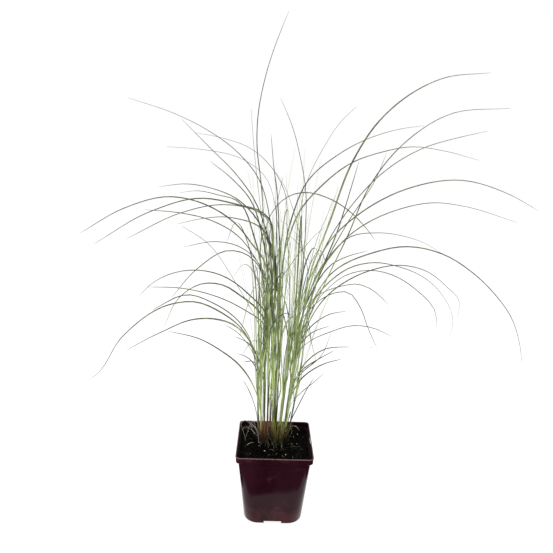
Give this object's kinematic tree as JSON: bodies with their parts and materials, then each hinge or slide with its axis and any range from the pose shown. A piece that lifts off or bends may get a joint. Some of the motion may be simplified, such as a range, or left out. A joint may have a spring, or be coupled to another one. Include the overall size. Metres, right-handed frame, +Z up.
{
  "type": "potted ornamental grass clump",
  "caption": "Clump of upright and arching fine grass blades growing from soil in a tapered square nursery pot, for patio and garden scenes.",
  "frame": {"origin": "middle of the pot's base, on the surface that the pot stands on", "axes": "+Z up the clump; +X to the right and -Y to the front as the picture shows the object; X and Y square to the pot's sides"},
  "size_m": [0.746, 0.5247, 0.8301],
  "materials": {
    "pot_plastic": "gloss",
    "soil": "matte",
    "shoot": "satin",
    "leaf": "satin"
  },
  "bodies": {
    "root": {"pot": "pot_plastic", "soil": "soil", "shoot_left_1": "shoot", "shoot_left_2": "shoot", "shoot_left_3": "shoot", "shoot_middle_1": "shoot", "shoot_middle_2": "shoot", "shoot_middle_3": "shoot", "shoot_middle_4": "shoot", "shoot_middle_5": "shoot", "shoot_right_1": "shoot", "shoot_right_2": "shoot", "shoot_right_3": "shoot", "shoot_right_4": "shoot", "shoot_right_5": "shoot", "shoot_right_6": "shoot", "leaf_left_01": "leaf", "leaf_left_02": "leaf", "leaf_left_03": "leaf", "leaf_left_04": "leaf", "leaf_left_05": "leaf", "leaf_left_06": "leaf", "leaf_left_07": "leaf", "leaf_left_08": "leaf", "leaf_left_09": "leaf", "leaf_left_10": "leaf", "leaf_left_11": "leaf", "leaf_left_12": "leaf", "leaf_left_13": "leaf", "leaf_left_14": "leaf", "leaf_left_15": "leaf", "leaf_left_16": "leaf", "leaf_top_1": "leaf", "leaf_top_2": "leaf", "leaf_top_3": "leaf", "leaf_top_4": "leaf", "leaf_top_5": "leaf", "leaf_top_6": "leaf", "leaf_top_7": "leaf", "leaf_right_01": "leaf", "leaf_right_02": "leaf", "leaf_right_03": "leaf", "leaf_right_04": "leaf", "leaf_right_05": "leaf", "leaf_right_06": "leaf", "leaf_right_07": "leaf", "leaf_right_08": "leaf", "leaf_right_09": "leaf", "leaf_right_10": "leaf", "leaf_right_11": "leaf", "leaf_right_12": "leaf", "leaf_right_13": "leaf", "leaf_right_14": "leaf", "leaf_right_15": "leaf", "leaf_right_16": "leaf", "leaf_right_17": "leaf", "leaf_front_1": "leaf", "leaf_front_2": "leaf", "leaf_back_1": "leaf", "leaf_back_2": "leaf"}
  },
  "joints": []
}
